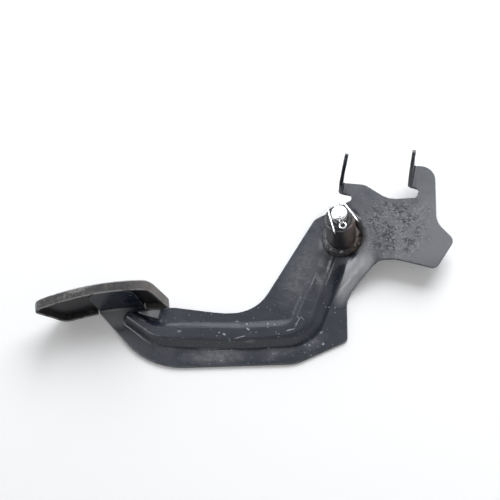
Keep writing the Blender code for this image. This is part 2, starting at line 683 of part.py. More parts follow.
def main():
    clear_scene()
    parts = bpy.data.collections.new("accelerator_pedal")
    cutters = bpy.data.collections.new("cutters")
    bpy.context.scene.collection.children.link(parts)
    bpy.context.scene.collection.children.link(cutters)

    paint = principled("black_paint", (0.02, 0.022, 0.025), 0.28)
    rubber = principled("black_rubber", (0.03, 0.03, 0.03), 0.7)
    zinc = principled("zinc_plate", (0.75, 0.76, 0.78), 0.3, 1.0)
    nylon = principled("dark_nylon", (0.05, 0.05, 0.055), 0.5)

    make_arm(paint, parts, cutters)
    make_boss(paint, parts)
    make_bush("upper_bush", nylon, parts, True)
    make_bush("lower_bush", nylon, parts, False)
    make_pin(zinc, parts, cutters)
    make_split_pin(zinc, parts)
    make_pad_plate(paint, parts)
    make_pad_cover(rubber, parts, cutters)


main()
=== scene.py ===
"""Finish for the accelerator pedal: black painted pressing, worn pivot, bright pins and rubber foot pad.

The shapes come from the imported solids. The operators below refine the pieces that show, paint each
one, and set up a plain white table with soft light.
"""

import math
from functools import reduce

import bmesh
import bpy
from bpy.props import FloatProperty, FloatVectorProperty, PointerProperty
from bpy.types import Operator, Panel, PropertyGroup
from mathutils import Matrix, Vector, noise
from mathutils.bvhtree import BVHTree


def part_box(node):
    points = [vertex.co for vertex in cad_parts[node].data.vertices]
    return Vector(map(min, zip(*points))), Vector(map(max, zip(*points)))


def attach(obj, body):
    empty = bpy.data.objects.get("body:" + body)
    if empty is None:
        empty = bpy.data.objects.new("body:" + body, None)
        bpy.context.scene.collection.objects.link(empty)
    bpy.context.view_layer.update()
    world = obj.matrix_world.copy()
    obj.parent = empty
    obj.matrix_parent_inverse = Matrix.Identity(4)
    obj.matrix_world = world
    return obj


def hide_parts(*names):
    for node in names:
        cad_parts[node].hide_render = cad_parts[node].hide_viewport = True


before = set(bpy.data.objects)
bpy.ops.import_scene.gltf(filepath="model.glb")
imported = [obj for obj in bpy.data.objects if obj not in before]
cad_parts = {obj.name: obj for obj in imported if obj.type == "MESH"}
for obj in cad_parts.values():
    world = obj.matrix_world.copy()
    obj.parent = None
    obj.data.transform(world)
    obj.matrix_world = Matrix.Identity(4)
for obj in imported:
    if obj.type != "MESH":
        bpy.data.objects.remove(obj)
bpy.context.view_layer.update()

bl_info = {
    "name": "Accelerator Pedal Finish",
    "version": (1, 0, 0),
    "blender": (4, 5, 0),
    "location": "3D View > Sidebar > Pedal",
    "description": "Refines and paints the stamped accelerator pedal and lights it on a white table",
    "category": "Object",
}

MM = 0.001

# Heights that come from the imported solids
BOSS_LOW, BOSS_HIGH = (corner.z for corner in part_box("pivot_boss"))
PIN_LOW, PIN_HIGH = (corner.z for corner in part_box("pivot_pin"))
UPPER_LOW, UPPER_HIGH = (corner.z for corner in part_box("upper_bush"))
LOWER_LOW, LOWER_HIGH = (corner.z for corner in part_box("lower_bush"))

# Limits for cleaning meshes
NODE_MERGE = 0.000005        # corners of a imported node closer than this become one
SPIN_MERGE = 0.000002        # corners of a turned piece closer than this become one
FLAT = math.radians(0.4)     # faces that lie this close to one plane become one
NOTHING = 0.000001           # edges shorter than this go, with the faces that they leave empty

# Edges sharper than this many degrees are rounded
SHARP_ARM = 60.0
SHARP_PAD = 45.0
SHARP_RIM = 40.0
SHARP_PIN = 20.0
ROOM = 1.7                   # an edge stays sharp where one beside it is shorter than this many roundings
STRAY = 1.8                  # a new corner further from its edge than this many roundings is drawn back

# Facets round the turned pieces
TUBE_STEPS = 96
WELD_STEPS = 180
SMALL_STEPS = 72
HOLE_STEPS = 32

# The weld's section: how far it bulges, as a share of its width and height, and how it is stepped
WELD_BULGE = 0.84
WELD_POINTS = 11
WELD_FIRST = 8.0             # degrees
WELD_TURN = 7.4              # degrees from one point to the next
WELD_SINK = 0.0004           # how far it reaches into the tube's wall
WELD_WALL = 0.02             # the share of its width beside the tube that stays smooth
WELD_REST = 0.0002           # the height over its foot that stays smooth
WELD_LUMPS = ((190.0, 1.5), (480.0, 1.1), (1100.0, 0.6))    # scale and weight

# The photograph's viewpoint
CAMERA_PLACE = (0.0323, -0.5187, 1.0502)
CAMERA_RIGHT = (0.9961, 0.0, -0.0878)
CAMERA_UP = (0.0387, 0.8976, 0.4391)
CAMERA_BACK = (0.0788, -0.4408, 0.8942)
CAMERA_SENSOR = 36.0
CAMERA_LENS = 129.6

# Soft panels: where each stands, what it faces, its width and height, and its colour
ORIGIN = (0.0, 0.0, 0.0)
PANELS = {
    "key_softbox": ((0.45, 0.98, 1.05), ORIGIN, (1.2, 1.0), (0.95, 0.97, 1.0)),
    "back_panel": ((-0.25, 1.45, 0.40), (-0.25, 0.0, 0.40), (2.4, 0.8), (0.93, 0.96, 1.0)),
    "left_reflector": ((-0.85, 0.05, 0.74), ORIGIN, (0.85, 0.95), (0.97, 0.98, 1.0)),
    "upper_left_reflector": ((-0.56, 0.46, 0.98), ORIGIN, (0.38, 0.40), (0.97, 0.98, 1.0)),
}
UPPER_LEFT_SHARE = 0.35      # brightness of the upper left reflector beside the left one
TABLE_HALF = 3.0
TABLE_GREY = 0.94
LOW_SKY, HIGH_SKY = 0.25, 0.60    # where the horizon's brightness gives way to the ceiling's

# Large marks, as values of the spot group
TAIL_DUST = {"centre": (0.054, 0.002, 0.0), "size": (0.046, 0.044, 1.0), "ragged": 0.10, "grain": 60.0,
             "core": 0.35}
TAIL_PITS = {"centre": (0.034, 0.004, 0.0), "size": (0.027, 0.031, 1.0), "turn": -0.5, "ragged": 0.22,
             "grain": 80.0, "core": 0.45}
GRITTY_PART = {"centre": (-0.052, -0.055, 0.0), "size": (0.075, 0.045, 1.0), "ragged": 0.2, "grain": 40.0}
# Painted reflections on the neck: a bright patch where the sheet climbs beside the tongue, and a paler
# patch on the flange to its left
NECK_BRIGHT = {"centre": (-0.1230, -0.0478, 0.0), "size": (0.0140, 0.0066, 1.0), "ragged": 0.0,
               "grain": 60.0, "core": 0.7}
NECK_SHEEN = {"centre": (-0.1480, -0.0450, 0.0), "size": (0.0150, 0.0110, 1.0), "ragged": 0.05,
               "grain": 60.0, "core": 0.1}
PAD_SCUFF = {"centre": (-0.170, -0.036, 0.0), "size": (0.016, 0.008, 1.0), "turn": 0.2, "ragged": 0.9,
             "grain": 330.0, "core": 0.2}

# Where a mask starts and where it is full, in metres along X, Z or NECK_ACROSS
ON_FLANGE = (0.0036, 0.0026)
NECK_RIGHT = (-0.1168, -0.1190)
NECK_EDGE = (-0.1014, -0.1000)
NECK_TOP = (0.009, 0.0078)
STEP_FOOT = (0.00735, 0.0076)
STEP_TOP = (0.0085, 0.00875)
TUBE_RUSTY_SIDE = (0.0, 0.007)
WELD_RUSTY_SIDE = (0.0, 0.010)
WELD_PALE_SIDE = (-0.002, -0.009)
PAD_SCUFF_HEIGHT = (0.022, 0.030)
PAD_RIGHT_END = (-0.138, -0.118)
NECK_ACROSS = (0.473, 0.881, 0.0)    # the direction square to the bead's upper edge beside the tongue
NECK_HOLLOW = (-0.046, 600.0)        # the Y where the neck's hollow starts, and how steep it is
OUTWARD = 0.1                        # an outer wall's normal has this much more X than Y

# Soft dusty places on the pressing, in plan millimetres: centre, half sizes, turn in degrees, strength
DUSTY_SPOTS = (
    ((-81.0, -76.0), (27.0, 7.0), 0.0, 0.26),
    ((-44.0, -75.5), (17.0, 6.0), 8.0, 0.14),
    ((-20.0, -69.0), (12.0, 6.0), 30.0, 0.12),
    ((-26.0, -22.0), (13.0, 34.0), -22.0, 0.16),
    ((-9.5, -24.0), (6.0, 18.0), -20.0, 0.20),
    ((-14.0, -17.5), (3.6, 6.5), -22.0, 0.34),
    ((-15.5, -27.5), (2.4, 7.0), 20.0, 0.28),
)

# Painted sheen, the same way: smooth pale films that stand in for the reflection on the ramp beside the
# tube
RAMP_PAINTED_SHEEN = (
    ((14.0, -8.0), (7.0, 24.0), 10.0, 0.80),
    ((11.0, -24.0), (8.0, 18.0), -35.0, 0.75),
    ((2.0, -32.0), (6.5, 15.0), -24.0, 1.0),
)

# Pale rubs, chips and scratches, the same way: they are narrow and nearly bare
RUBS = (
    ((-104.4, -60.9), (1.5, 0.9), 0.0, 0.55),
    ((-79.2, -62.7), (0.7, 0.6), 0.0, 0.8),
    ((-75.8, -64.1), (1.4, 0.7), -35.0, 0.9),
    ((-61.5, -57.1), (0.8, 0.7), 0.0, 1.0),
    ((-60.7, -61.1), (1.3, 0.6), -35.0, 0.9),
    ((-65.9, -66.4), (4.4, 0.35), 14.0, 0.8),
    ((-72.4, -68.0), (0.5, 1.6), 40.0, 0.6),
    ((-68.0, -54.8), (1.3, 0.5), -8.0, 0.5),
    ((-34.5, -62.7), (3.3, 0.5), 14.0, 0.95),
    ((-29.3, -57.4), (0.45, 4.2), -27.0, 0.6),
    ((-26.6, -54.4), (0.4, 1.8), 40.0, 0.5),
    ((-14.6, -62.3), (0.6, 1.3), -50.0, 0.7),
    ((-88.0, -71.0), (9.0, 0.3), -2.0, 0.35),
    ((-76.0, -72.4), (10.0, 0.3), 1.0, 0.30),
    ((-128.0, -52.0), (2.6, 0.6), -35.0, 0.35),
    ((-8.4, -18.1), (1.1, 7.0), -17.0, 1.0),
    ((-7.6, -22.8), (0.45, 10.5), -21.0, 0.8),
    ((-19.0, -28.8), (0.45, 7.5), -21.0, 0.5),
)


# Settings that a user may change

LENGTH = {"min": 0.0, "unit": "LENGTH"}
COLOUR = {"min": 0.0, "max": 1.0, "subtype": "COLOR"}
SHARE = {"min": 0.0, "max": 1.0, "subtype": "FACTOR"}
LIGHT = {"min": 0.0}


class PedalSizes(PropertyGroup):
    edge_round: FloatProperty(name="Cut edge rounding", description="Radius on the pressing's cut edges",
                              default=0.00035, **LENGTH)
    tube_round: FloatProperty(name="Tube rounding", description="Radius on the rims of the pivot tube",
                              default=0.00035, **LENGTH)
    bush_round: FloatProperty(name="Bush rounding", description="Radius on the rims of the bushes",
                              default=0.00025, **LENGTH)
    pin_round: FloatProperty(name="Pin rounding", description="Radius on the rims of the pivot pin",
                             default=0.00018, **LENGTH)
    pad_round: FloatProperty(name="Pad rounding", description="Radius on the edges of the rubber pad",
                             default=0.00055, **LENGTH)
    tube_radius: FloatProperty(name="Pivot tube radius", description="Outside of the welded pivot tube",
                               default=0.0095, **LENGTH)
    tube_bore: FloatProperty(name="Pivot tube bore", description="Inside radius of the pivot tube",
                             default=0.0066, **LENGTH)
    pocket_radius: FloatProperty(name="Bush pocket radius", description="Counterbore for a bush flange",
                                 default=0.008, **LENGTH)
    pocket_depth: FloatProperty(name="Bush pocket depth", description="Depth of the counterbore",
                                default=0.0013, **LENGTH)
    weld_foot: FloatProperty(name="Weld foot height",
                             description="Height of the weld's foot over the table", default=0.0091,
                             **LENGTH)
    weld_width: FloatProperty(name="Weld width", description="How far the weld reaches out from the tube",
                              default=0.0036, **LENGTH)
    weld_height: FloatProperty(name="Weld height", description="How far the weld climbs the tube",
                               default=0.0040, **LENGTH)
    weld_lump: FloatProperty(name="Weld lumps", description="Height of the weld's ripples and lumps",
                             default=0.00070, **LENGTH)
    bush_flange_radius: FloatProperty(name="Bush flange radius",
                                      description="Outside of the bush flanges", default=0.0077, **LENGTH)
    bush_flange: FloatProperty(name="Bush flange thickness", description="Thickness of the bush flanges",
                               default=0.0015, **LENGTH)
    bush_bore: FloatProperty(name="Bush bore", description="Inside radius of the bushes", default=0.0053,
                             **LENGTH)
    bush_sleeve: FloatProperty(name="Bush sleeve radius",
                               description="Outside radius of the bush sleeves", default=0.0063, **LENGTH)
    pin_radius: FloatProperty(name="Pin radius", description="Radius of the pivot pin", default=0.005,
                              **LENGTH)
    pin_head_radius: FloatProperty(name="Pin head radius", description="Radius of the pin's head",
                                   default=0.008, **LENGTH)
    pin_head: FloatProperty(name="Pin head thickness", description="Thickness of the pin's head",
                            default=0.003, **LENGTH)
    pin_chamfer: FloatProperty(name="Pin chamfer", description="Chamfer at both ends of the pin",
                               default=0.0007, **LENGTH)
    cross_hole: FloatProperty(name="Cross hole radius", description="Hole for the split pin",
                              default=0.0015, **LENGTH)
    split_drop: FloatProperty(name="Split pin depth", description="Split pin below the pin's free end",
                              default=0.0045, **LENGTH)
    split_angle: FloatProperty(name="Split pin direction", description="Direction of the split pin's eye",
                               default=math.radians(-75.0), unit="ROTATION")


class PedalColours(PropertyGroup):
    paint: FloatVectorProperty(name="Black paint", description="Colour of the paint on the pressing",
                               default=(0.014, 0.018, 0.031), **COLOUR)
    # Also the colour of the painted sheen on the arm and of the weld's painted highlight
    dust: FloatVectorProperty(name="Dust", description="Colour of the dust film",
                              default=(0.205, 0.205, 0.215), **COLOUR)
    scuff: FloatVectorProperty(name="Scuffs", description="Colour of scuffs and worn edges",
                               default=(0.36, 0.37, 0.39), **COLOUR)
    tube: FloatVectorProperty(name="Tube paint", description="Colour of the thin paint on the pivot tube",
                              default=(0.020, 0.019, 0.023), **COLOUR)
    rust: FloatVectorProperty(name="Rust", description="Colour of the rust on the pivot tube",
                              default=(0.115, 0.080, 0.068), **COLOUR)
    zinc: FloatVectorProperty(name="Zinc", description="Colour of the plated pins",
                              default=(0.86, 0.87, 0.88), **COLOUR)
    dull_zinc: FloatVectorProperty(name="Dull zinc", description="Colour of dull spots on the pins",
                                   default=(0.50, 0.49, 0.48), **COLOUR)
    nylon: FloatVectorProperty(name="Nylon", description="Colour of the bushes",
                               default=(0.03, 0.03, 0.032), **COLOUR)
    grease: FloatVectorProperty(name="Grease", description="Colour of the grease on the bushes",
                                default=(0.07, 0.06, 0.05), **COLOUR)
    rubber: FloatVectorProperty(name="Rubber", description="Colour of the foot pad",
                                default=(0.024, 0.023, 0.024), **COLOUR)
    rubber_dust: FloatVectorProperty(name="Dust on the rubber", description="Colour of dust on the pad",
                                     default=(0.125, 0.112, 0.105), **COLOUR)
    rubber_rub: FloatVectorProperty(name="Rubs on the rubber", description="Colour of rubs on the pad",
                                    default=(0.34, 0.33, 0.32), **COLOUR)
    rubber_edge: FloatVectorProperty(name="Rubber edges", description="Colour of the pad's worn edges",
                                     default=(0.30, 0.30, 0.30), **COLOUR)


class PedalWear(PropertyGroup):
    film: FloatProperty(name="Dust film", description="Thin dust all over the arm", default=0.04, **SHARE)
    tail_dust: FloatProperty(name="Tail dust", description="Dust on the tail plate", default=0.43,
                             **SHARE)
    tail_grains: FloatProperty(name="Tail grains", description="Pale grains between the tail's pits",
                               default=0.50, **SHARE)
    pit_depth: FloatProperty(name="Pit depth", description="How deep the tail's pits look", default=0.34,
                             **SHARE)
    grit: FloatProperty(name="Grit", description="Fine pale specks on the arm", default=0.60, **SHARE)
    scratches: FloatProperty(name="Scratches", description="Fine scratches on the arm", default=0.25,
                             **SHARE)
    edges: FloatProperty(name="Edge wear", description="Bare metal along the arm's cut edges",
                         default=0.28, **SHARE)


class StageSettings(PropertyGroup):
    key: FloatProperty(name="Key light", description="Brightness of the large light behind on the right",
                       default=6.3, **LIGHT)
    back: FloatProperty(name="Back light", description="Brightness of the long panel behind the table",
                        default=1.9, **LIGHT)
    left: FloatProperty(name="Left light",
                        description="Brightness of the reflectors on the left, in gloss", default=8.0,
                        **LIGHT)
    room: FloatProperty(name="Room light", description="Strength of the even light from all round",
                        default=0.34, **LIGHT)
    horizon: FloatProperty(name="Horizon", description="How white the low surroundings look in gloss",
                           default=1.0, **LIGHT)
    ceiling: FloatProperty(name="Ceiling", description="How bright the space overhead looks in gloss",
                           default=0.15, **LIGHT)
    floor_lift: FloatProperty(name="Table whiteness", description="How much the table is lifted to white",
                              default=0.12, **LIGHT)


# Mesh helpers

def new_object(name, bm):
    """A new object in the scene with the bmesh as its mesh; the bmesh is used up."""
    mesh = bpy.data.meshes.new(name)
    bm.to_mesh(mesh)
    bm.free()
    obj = bpy.data.objects.new(name, mesh)
    bpy.context.scene.collection.objects.link(obj)
    return obj


def piece(name, bm, body, slot, *nodes):
    """Turns a bmesh into a finished object that rides on a body and stands for the given nodes."""
    obj = new_object(name, bm)
    obj.data.shade_smooth()
    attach(obj, body)
    if nodes:
        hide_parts(*nodes)
    return obj


def flat_piece(*details):
    """A piece whose flat faces look flat beside their rounded edges; the details are those of piece."""
    obj = piece(*details)
    weighted = obj.modifiers.new("even shading", "WEIGHTED_NORMAL")
    weighted.weight = 80
    weighted.keep_sharp = True
    return obj


def merged_copy(node):
    """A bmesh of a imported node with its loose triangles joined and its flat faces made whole."""
    bm = bmesh.new()
    bm.from_mesh(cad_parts[node].data)
    bmesh.ops.remove_doubles(bm, verts=bm.verts, dist=NODE_MERGE)
    bmesh.ops.dissolve_limit(bm, angle_limit=FLAT, verts=bm.verts, edges=bm.edges,
                             use_dissolve_boundaries=False)
    return bm


def round_edges(bm, angle, width, segments=2):
    """Rounds the edges sharper than the angle that have room for it, and marks them as worn."""
    edge_layer = bm.faces.layers.float.get("edge") or bm.faces.layers.float.new("edge")
    sharp = {e for e in bm.edges if len(e.link_faces) == 2 and e.calc_face_angle() > math.radians(angle)}
    short = [e for e in bm.edges if e not in sharp and e.calc_length() < width * ROOM]
    cramped = {v for e in short for v in e.verts}
    rims = [e for e in bm.edges if e in sharp and not cramped.intersection(e.verts)]
    ends = [v.co.copy() for e in rims for v in e.verts]
    rails = BVHTree.FromPolygons(ends, [(i, i + 1, i + 1) for i in range(0, len(ends), 2)])
    result = bmesh.ops.bevel(bm, geom=rims, offset=width, offset_type="OFFSET", affect="EDGES",
                             segments=segments, profile=0.5, material=-1, clamp_overlap=False)
    for face in result["faces"]:
        face[edge_layer] = 1.0
    strays = {v for v in result["verts"] if rails.find_nearest(v.co)[3] > width * STRAY}
    homes = {}
    for v in result["verts"]:
        near = [e.other_vert(v) for e in v.link_edges if e.other_vert(v) not in strays]
        if v in strays and near:
            homes[v] = min(near, key=lambda other: (other.co - v.co).length)
    bmesh.ops.weld_verts(bm, targetmap=homes)
    bmesh.ops.delete(bm, geom=[e for e in bm.edges if not e.link_faces], context="EDGES")
    bmesh.ops.dissolve_degenerate(bm, dist=NOTHING, edges=bm.edges)


def spin_profile(points, steps):
    """A ring from a closed outline of (radius, height) points, or a solid where it meets the axis."""
    bm = bmesh.new()
    verts = [bm.verts.new((radius, 0.0, height)) for radius, height in points]
    edges = [bm.edges.new(pair) for pair in zip(verts, verts[1:])]
    if points[0][0] > 0:
        edges.append(bm.edges.new((verts[-1], verts[0])))
    bmesh.ops.spin(bm, geom=verts + edges, cent=(0, 0, 0), axis=(0, 0, 1), angle=math.tau, steps=steps,
                   use_merge=True)
    bmesh.ops.remove_doubles(bm, verts=bm.verts, dist=SPIN_MERGE)
    bmesh.ops.recalc_face_normals(bm, faces=bm.faces)
    return bm


def drilled(bm, radius, depth, matrix):
    """The bmesh with a round hole cut through it along the matrix's own Z."""
    blank = new_object("pin_blank", bm)
    drill = bmesh.new()
    bmesh.ops.create_cone(drill, cap_ends=True, segments=HOLE_STEPS, radius1=radius, radius2=radius,
                          depth=depth, matrix=matrix)
    cutter = new_object("hole", drill)
    boolean = blank.modifiers.new("hole", "BOOLEAN")
    boolean.object = cutter
    boolean.solver = "EXACT"
    bpy.context.view_layer.update()
    evaluated = blank.evaluated_get(bpy.context.evaluated_depsgraph_get())
    result = bmesh.new()
    result.from_mesh(evaluated.to_mesh())
    evaluated.to_mesh_clear()
    for spare in (blank, cutter):
        mesh = spare.data
        bpy.data.objects.remove(spare)
        bpy.data.meshes.remove(mesh)
    return result


# Node helpers

def join(tree, *ends):
    """Links outputs to inputs, given in pairs."""
    for source, target in zip(ends[::2], ends[1::2]):
        tree.links.new(source, target)


def put(tree, value, socket):
    """Links an output to an input, or sets a plain number, vector or colour on it."""
    if isinstance(value, bpy.types.NodeSocket):
        tree.links.new(value, socket)
    elif socket.type == "RGBA":
        socket.default_value = (*value[:3], 1.0)
    else:
        socket.default_value = value


def math_node(tree, operation, first, second, clamp=False):
    """The result of one math node on two numbers or outputs."""
    node = tree.nodes.new("ShaderNodeMath")
    node.operation = operation
    node.use_clamp = clamp
    put(tree, first, node.inputs[0])
    put(tree, second, node.inputs[1])
    return node.outputs[0]


def chain(tree, operation, values):
    """The result of one operation on several values, from left to right."""
    return reduce(lambda total, value: math_node(tree, operation, total, value), values)


def times(tree, *values):
    return chain(tree, "MULTIPLY", values)


def plus(tree, *values):
    return chain(tree, "ADD", values)


def minus(tree, first, second):
    return math_node(tree, "SUBTRACT", first, second)


def highest(tree, *values):
    return chain(tree, "MAXIMUM", values)


def mix_colour(tree, factor, low, high):
    """A colour between low and high."""
    node = tree.nodes.new("ShaderNodeMix")
    node.data_type = "RGBA"
    for value, index in ((factor, 0), (low, 6), (high, 7)):
        put(tree, value, node.inputs[index])
    return node.outputs[2]


def mix_value(tree, factor, low, high):
    """A number between low and high."""
    node = tree.nodes.new("ShaderNodeMix")
    node.data_type = "FLOAT"
    for value, index in ((factor, 0), (low, 2), (high, 3)):
        put(tree, value, node.inputs[index])
    return node.outputs[0]


def ramp(tree, value, start, full):
    """0 up to start and 1 from full on, smooth between; start may also be the higher of the two."""
    node = tree.nodes.new("ShaderNodeMapRange")
    node.interpolation_type = "SMOOTHSTEP"
    for label, limit in (("Value", value), ("From Min", start), ("From Max", full)):
        put(tree, limit, node.inputs[label])
    return node.outputs["Result"]


def noise_at(tree, place, scale, detail=4.0, roughness=0.55):
    """A noise pattern between about 0.2 and 0.8."""
    node = tree.nodes.new("ShaderNodeTexNoise")
    node.inputs["Detail"].default_value = detail
    node.inputs["Roughness"].default_value = roughness
    put(tree, place, node.inputs["Vector"])
    put(tree, scale, node.inputs["Scale"])
    return node.outputs["Fac"]


def directions(tree, place):
    """The X, Y and Z of a place."""
    split = tree.nodes.new("ShaderNodeSeparateXYZ")
    join(tree, place, split.inputs[0])
    return tuple(split.outputs)


def along(tree, place, way):
    """How far a place lies along a direction."""
    node = tree.nodes.new("ShaderNodeVectorMath")
    node.operation = "DOT_PRODUCT"
    node.inputs[1].default_value = way
    join(tree, place, node.inputs[0])
    return node.outputs["Value"]


def attribute_value(tree, name):
    """A number stored on the piece's own mesh."""
    node = tree.nodes.new("ShaderNodeAttribute")
    node.attribute_name = name
    return node.outputs["Fac"]


def bump(tree, shader, height, distance):
    """Feeds a height pattern to the shader's normal."""
    node = tree.nodes.new("ShaderNodeBump")
    node.inputs["Distance"].default_value = distance
    join(tree, height, node.inputs["Height"], node.outputs["Normal"], shader.inputs["Normal"])


def new_material(name):
    """A new material with its node tree, its shader and the piece's own coordinates."""
    material = bpy.data.materials.new(name)
    material.use_nodes = True
    tree = material.node_tree
    place = tree.nodes.new("ShaderNodeTexCoord").outputs["Object"]
    return material, tree, tree.nodes["Principled BSDF"], place


# Shared effects

def new_group(name, **inputs):
    """A shader node group with Place and the given inputs, and one Mask output."""
    group = bpy.data.node_groups.new(name, "ShaderNodeTree")
    for label, default in {"place": (0.0, 0.0, 0.0), **inputs}.items():
        kind = "NodeSocketVector" if isinstance(default, tuple) else "NodeSocketFloat"
        socket = group.interface.new_socket(label.capitalize(), in_out="INPUT", socket_type=kind)
        socket.default_value = default
    group.interface.new_socket("Mask", in_out="OUTPUT", socket_type="NodeSocketFloat")
    start = group.nodes.new("NodeGroupInput")
    end = group.nodes.new("NodeGroupOutput")
    return group, start.outputs, end.inputs["Mask"]


def use_group(tree, name, place, **values):
    """Places a shared group and returns its mask; each value is a number, a vector or an output."""
    node = tree.nodes.new("ShaderNodeGroup")
    node.node_tree = bpy.data.node_groups[name]
    put(tree, place, node.inputs["Place"])
    for label, value in values.items():
        put(tree, value, node.inputs[label.capitalize()])
    return node.outputs["Mask"]


def make_dust_group():
    """Cloudy dust film: large drifts broken up by fine grain."""
    group, start, mask = new_group("dust_film", scale=30.0, cover=0.5)
    clouds = noise_at(group, start["Place"], start["Scale"], 5.0)
    grain = noise_at(group, start["Place"], times(group, start["Scale"], 9.0), 3.0)
    low = minus(group, 0.70, times(group, start["Cover"], 0.4))
    blend = mix_value(group, 0.3, clouds, grain)
    join(group, ramp(group, blend, low, plus(group, low, 0.24)), mask)


def make_speck_group():
    """Small pale specks: chips, grit and dried splashes, each with its own size."""
    group, start, mask = new_group("specks", scale=300.0, size=0.25, cover=0.4)
    warp = group.nodes.new("ShaderNodeTexNoise")
    warp.inputs["Scale"].default_value = 900.0
    shifted = group.nodes.new("ShaderNodeVectorMath")
    shifted.operation = "MULTIPLY_ADD"
    shifted.inputs[1].default_value = (0.0012, 0.0012, 0.0012)
    cells = group.nodes.new("ShaderNodeTexVoronoi")
    tint = group.nodes.new("ShaderNodeSeparateColor")
    join(group, start["Place"], warp.inputs["Vector"], warp.outputs["Color"], shifted.inputs[0],
         start["Place"], shifted.inputs[2], shifted.outputs[0], cells.inputs["Vector"],
         start["Scale"], cells.inputs["Scale"], cells.outputs["Color"], tint.inputs[0])
    chosen = math_node(group, "LESS_THAN", tint.outputs[0], start["Cover"])
    radius = times(group, start["Size"], tint.outputs[1])
    inside = math_node(group, "LESS_THAN", cells.outputs["Distance"], radius)
    shade = plus(group, times(group, tint.outputs[2], 0.7), 0.3)
    join(group, times(group, chosen, inside, shade), mask)


def make_scratch_group():
    """Fine straight scratches running along one direction, in patches."""
    group, start, mask = new_group("scratches", scale=120.0, turn=0.5, cover=0.5)
    turned = group.nodes.new("ShaderNodeVectorRotate")
    turned.rotation_type = "Z_AXIS"
    stretched = group.nodes.new("ShaderNodeVectorMath")
    stretched.operation = "MULTIPLY"
    stretched.inputs[1].default_value = (0.04, 1.0, 0.5)
    join(group, start["Place"], turned.inputs["Vector"], start["Turn"], turned.inputs["Angle"],
         turned.outputs[0], stretched.inputs[0])
    lines = ramp(group, noise_at(group, stretched.outputs[0], start["Scale"], 2.0), 0.64, 0.72)
    edge = minus(group, 0.72, times(group, start["Cover"], 0.4))
    clouds = noise_at(group, start["Place"], 40.0, 2.0)
    join(group, times(group, lines, ramp(group, clouds, edge, plus(group, edge, 0.1))), mask)


def make_wear_group():
    """Worn edges: the marked edge faces broken up by grain."""
    group, start, mask = new_group("edge_wear", edge=0.0, scale=220.0, amount=0.5)
    grain = ramp(group, noise_at(group, start["Place"], start["Scale"]), 0.34, 0.58)
    join(group, times(group, start["Edge"], grain, start["Amount"]), mask)


def make_spot_group():
    """One oval mark in plan: full inside its core, fading to its rim, ragged by Ragged."""
    group, start, mask = new_group("spot", centre=(0.0, 0.0, 0.0), size=(0.01, 0.01, 1.0), turn=0.0,
                                   ragged=0.5, grain=150.0, core=0.5)
    offset = group.nodes.new("ShaderNodeVectorMath")
    offset.operation = "SUBTRACT"
    turned = group.nodes.new("ShaderNodeVectorRotate")
    turned.rotation_type = "Z_AXIS"
    scaled = group.nodes.new("ShaderNodeVectorMath")
    scaled.operation = "DIVIDE"
    length = group.nodes.new("ShaderNodeVectorMath")
    length.operation = "LENGTH"
    back = times(group, start["Turn"], -1.0)
    join(group, start["Place"], offset.inputs[0], start["Centre"], offset.inputs[1],
         offset.outputs[0], turned.inputs["Vector"], back, turned.inputs["Angle"],
         turned.outputs[0], scaled.inputs[0], start["Size"], scaled.inputs[1],
         scaled.outputs[0], length.inputs[0])
    grain = noise_at(group, start["Place"], start["Grain"], 5.0, 0.65)
    tear = times(group, minus(group, grain, 0.5), times(group, start["Ragged"], 4.0))
    reach = plus(group, length.outputs["Value"], tear)
    join(group, ramp(group, reach, 1.05, start["Core"]), mask)


def add_marks(tree, place, marks, ragged, grain, core):
    """Adds up the oval marks of a list, each times its strength."""
    spots = []
    for (x, y), (long, wide), turn, strength in marks:
        spot = use_group(tree, "spot", place, centre=(x * MM, y * MM, 0.0), turn=math.radians(turn),
                         size=(long * MM, wide * MM, 1.0), ragged=ragged, grain=grain, core=core)
        spots.append(times(tree, spot, strength))
    return plus(tree, *spots)


# Materials

def tail_marks(tree, place):
    """The tail plate's dust, its pits and the pale grains between them."""
    patch = use_group(tree, "spot", place, **TAIL_PITS)
    coarse = noise_at(tree, place, 800.0, 3.0, 0.6)
    clumps = ramp(tree, noise_at(tree, place, 150.0, 3.0), 0.42, 0.60)
    pits = times(tree, patch, ramp(tree, coarse, 0.55, 0.45), mix_value(tree, clumps, 0.15, 1.0))
    grains = times(tree, patch, ramp(tree, coarse, 0.54, 0.66))
    return use_group(tree, "spot", place, **TAIL_DUST), pits, grains


def neck_sheen_patches(tree, place):
    """Painted reflections: a bright patch beside the tongue and a paler patch on the flange to the left of
    it.
    """
    x, _, z = directions(tree, place)
    across = along(tree, place, NECK_ACROSS)
    beside = times(tree, ramp(tree, across, *NECK_EDGE), ramp(tree, x, *NECK_RIGHT))
    bright = times(tree, use_group(tree, "spot", place, **NECK_BRIGHT), beside, ramp(tree, z, *NECK_TOP))
    neck_sheen = times(tree, use_group(tree, "spot", place, **NECK_SHEEN), ramp(tree, z, *ON_FLANGE))
    return bright, neck_sheen


def arm_dust_and_sheen(tree, place, wear, tail, neck):
    """All the dust on the arm, with the painted sheen on the ramp and beside the tongue, left out of the
    pits.
    """
    tail_dust, pits, grains = tail
    bright, neck_sheen = neck
    film = use_group(tree, "dust_film", place, scale=35.0, cover=0.45)
    drifts = add_marks(tree, place, DUSTY_SPOTS, 0.10, 90.0, 0.0)
    streaks = ramp(tree, noise_at(tree, place, 330.0, 5.0, 0.7), 0.36, 0.64)
    # Painted sheen: pale films for the reflection on the ramp, and the painted reflections beside the
    # tongue
    pale = plus(tree, add_marks(tree, place, RAMP_PAINTED_SHEEN, 0.08, 60.0, 0.2), times(tree, bright, 0.85),
                times(tree, neck_sheen, 1.1))
    drifts = times(tree, drifts, mix_value(tree, streaks, 0.35, 1.65))
    dust_and_sheen = plus(tree, times(tree, film, wear.film), drifts, pale, times(tree, tail_dust, wear.tail_dust))
    dust_and_sheen = times(tree, dust_and_sheen, minus(tree, 1.0, pits))
    return math_node(tree, "ADD", dust_and_sheen, times(tree, grains, wear.tail_grains), clamp=True)


